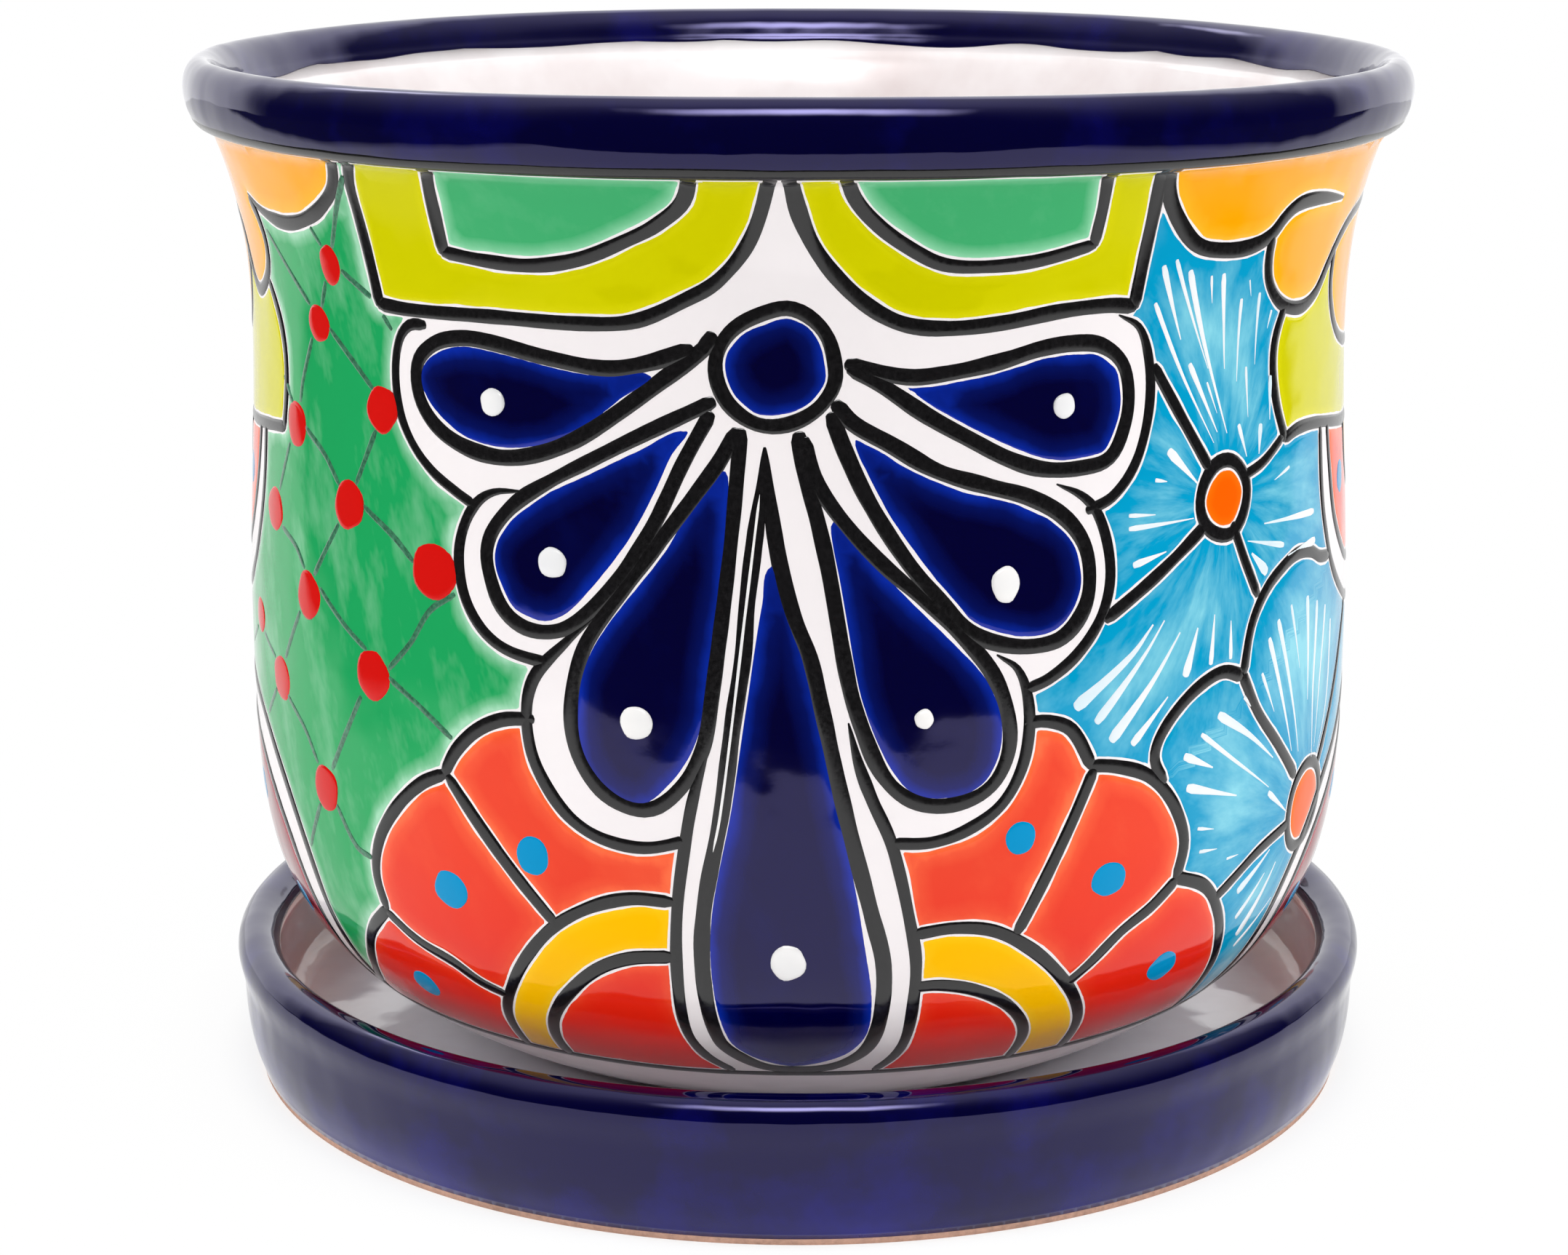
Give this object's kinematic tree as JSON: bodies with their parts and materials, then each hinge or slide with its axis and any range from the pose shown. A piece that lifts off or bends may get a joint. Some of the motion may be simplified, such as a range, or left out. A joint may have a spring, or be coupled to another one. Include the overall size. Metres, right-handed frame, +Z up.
{
  "type": "flower pot with saucer",
  "caption": "Round glazed clay flower pot with a rolled rim and a drain hole, standing loose in its low-walled drip saucer.",
  "frame": {"origin": "centre of the saucer's underside, on the surface that it stands on", "axes": "+Z up along the axis of the pot and the saucer; -Y is the painted front"},
  "size_m": [0.254, 0.254, 0.2165],
  "materials": {
    "painted_glaze": "gloss, hand painted over white",
    "cobalt_glaze": "gloss"
  },
  "bodies": {
    "saucer": {"saucer": "cobalt_glaze"},
    "pot": {"flower_pot": "painted_glaze"}
  },
  "joints": [
    {"name": "pot_lift", "type": "slide", "parent": "saucer", "child": "pot", "axis": [0, 0, 1], "range_m": [0, 0.1]}
  ]
}
